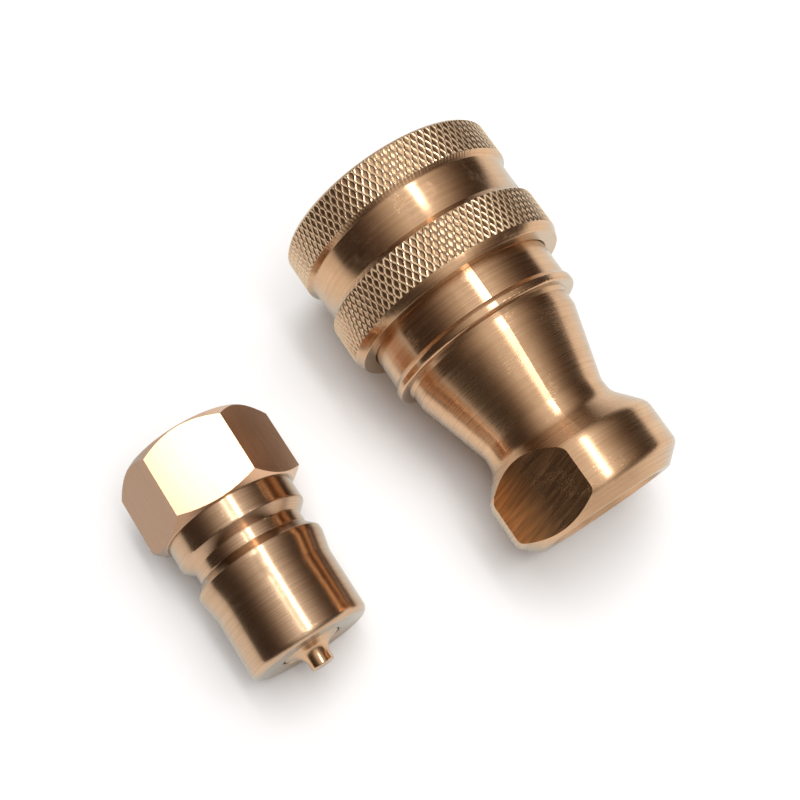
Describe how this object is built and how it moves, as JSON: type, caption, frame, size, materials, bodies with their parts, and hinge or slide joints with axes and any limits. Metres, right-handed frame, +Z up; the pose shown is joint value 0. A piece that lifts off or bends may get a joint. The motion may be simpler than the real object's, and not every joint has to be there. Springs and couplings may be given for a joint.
{
  "type": "quick disconnect coupler",
  "caption": "Two-part hydraulic quick disconnect coupler: ball-lock socket with knurled sleeve and rear port, and a hex-ended plug with poppet valve, lying side by side.",
  "frame": {"origin": "centre of the footprint, on the floor the two halves lie on", "axes": "+Z up; +Y the way the socket's mouth faces; the plug lies on the -X side with its nose towards -Y"},
  "size_m": [0.095, 0.0758, 0.0474],
  "materials": {
    "sleeve_brass": "turned brass, knurled bands, satin",
    "socket_brass": "turned brass with milled flats, satin",
    "plug_brass": "turned brass, satin",
    "valve_brass": "turned brass",
    "ball_steel": "polished bearing steel",
    "ring_steel": "spring steel strip",
    "spring_steel": "drawn steel wire",
    "nitrile": "black nitrile rubber",
    "backup_plastic": "white fluoropolymer"
  },
  "bodies": {
    "socket": {"socket_front_body": "socket_brass", "rear_adapter": "socket_brass", "joint_oring": "nitrile", "nose_seal_oring": "nitrile", "nose_seal_backup_ring": "backup_plastic", "socket_valve_guide": "valve_brass", "sleeve_spring": "spring_steel", "socket_valve_spring": "spring_steel"},
    "sleeve_ring": {"sleeve_retaining_ring": "ring_steel"},
    "sleeve": {"sleeve": "sleeve_brass"},
    "socket_valve": {"socket_poppet": "valve_brass", "socket_poppet_seal": "nitrile"},
    "plug": {"plug_body": "plug_brass", "plug_retaining_ring": "ring_steel", "plug_valve_guide": "valve_brass", "plug_valve_spring": "spring_steel"},
    "plug_valve": {"plug_poppet": "valve_brass", "plug_poppet_seal": "nitrile"},
    "ball_1": {"locking_ball_1": "ball_steel"},
    "ball_2": {"locking_ball_2": "ball_steel"},
    "ball_3": {"locking_ball_3": "ball_steel"},
    "ball_4": {"locking_ball_4": "ball_steel"},
    "ball_5": {"locking_ball_5": "ball_steel"},
    "ball_6": {"locking_ball_6": "ball_steel"},
    "ball_7": {"locking_ball_7": "ball_steel"},
    "ball_8": {"locking_ball_8": "ball_steel"}
  },
  "joints": [
    {"name": "sleeve_turn", "type": "hinge", "parent": "socket", "child": "sleeve_ring", "pos_m": [0.02497, 0.03325, 0.0249], "axis": [0, -0.9933, -0.1157], "continuous": true},
    {"name": "sleeve_pull", "type": "slide", "parent": "sleeve_ring", "child": "sleeve", "axis": [0, -0.9933, -0.1157], "range_m": [0, 0.0055], "stiffness_N_per_m": 2500, "springref_m": -0.004, "deforming": ["sleeve_spring"]},
    {"name": "socket_valve_slide", "type": "slide", "parent": "socket", "child": "socket_valve", "axis": [0, -0.9933, -0.1157], "range_m": [0, 0.004], "stiffness_N_per_m": 1500, "springref_m": -0.004, "deforming": ["socket_valve_spring"]},
    {"name": "ball_1_lift", "type": "slide", "parent": "socket", "child": "ball_1", "axis": [-0.3827, -0.1069, 0.9177], "range_m": [0, 0.00145]},
    {"name": "ball_2_lift", "type": "slide", "parent": "socket", "child": "ball_2", "axis": [-0.9239, -0.0443, 0.3801], "range_m": [0, 0.00145]},
    {"name": "ball_3_lift", "type": "slide", "parent": "socket", "child": "ball_3", "axis": [-0.9239, 0.0443, -0.3801], "range_m": [0, 0.00145]},
    {"name": "ball_4_lift", "type": "slide", "parent": "socket", "child": "ball_4", "axis": [-0.3827, 0.1069, -0.9177], "range_m": [0, 0.00145]},
    {"name": "ball_5_lift", "type": "slide", "parent": "socket", "child": "ball_5", "axis": [0.3827, 0.1069, -0.9177], "range_m": [0, 0.00145]},
    {"name": "ball_6_lift", "type": "slide", "parent": "socket", "child": "ball_6", "axis": [0.9239, 0.0443, -0.3801], "range_m": [0, 0.00145]},
    {"name": "ball_7_lift", "type": "slide", "parent": "socket", "child": "ball_7", "axis": [0.9239, -0.0443, 0.3801], "range_m": [0, 0.00145]},
    {"name": "ball_8_lift", "type": "slide", "parent": "socket", "child": "ball_8", "axis": [0.3827, -0.1069, 0.9177], "range_m": [0, 0.00145]},
    {"name": "plug_carry", "type": "slide", "parent": "socket", "child": "plug", "axis": [0.3009, 0.9536, 0], "range_m": [0, 0.18875]},
    {"name": "plug_valve_slide", "type": "slide", "parent": "plug", "child": "plug_valve", "axis": [0.0035, 0.9981, 0.0612], "range_m": [0, 0.004], "stiffness_N_per_m": 1500, "springref_m": -0.004, "deforming": ["plug_valve_spring"]}
  ],
  "couplings": [
    {"joint": "ball_1_lift", "follows": "sleeve_pull", "ratio": 0.26364},
    {"joint": "ball_2_lift", "follows": "sleeve_pull", "ratio": 0.26364},
    {"joint": "ball_3_lift", "follows": "sleeve_pull", "ratio": 0.26364},
    {"joint": "ball_4_lift", "follows": "sleeve_pull", "ratio": 0.26364},
    {"joint": "ball_5_lift", "follows": "sleeve_pull", "ratio": 0.26364},
    {"joint": "ball_6_lift", "follows": "sleeve_pull", "ratio": 0.26364},
    {"joint": "ball_7_lift", "follows": "sleeve_pull", "ratio": 0.26364},
    {"joint": "ball_8_lift", "follows": "sleeve_pull", "ratio": 0.26364}
  ]
}
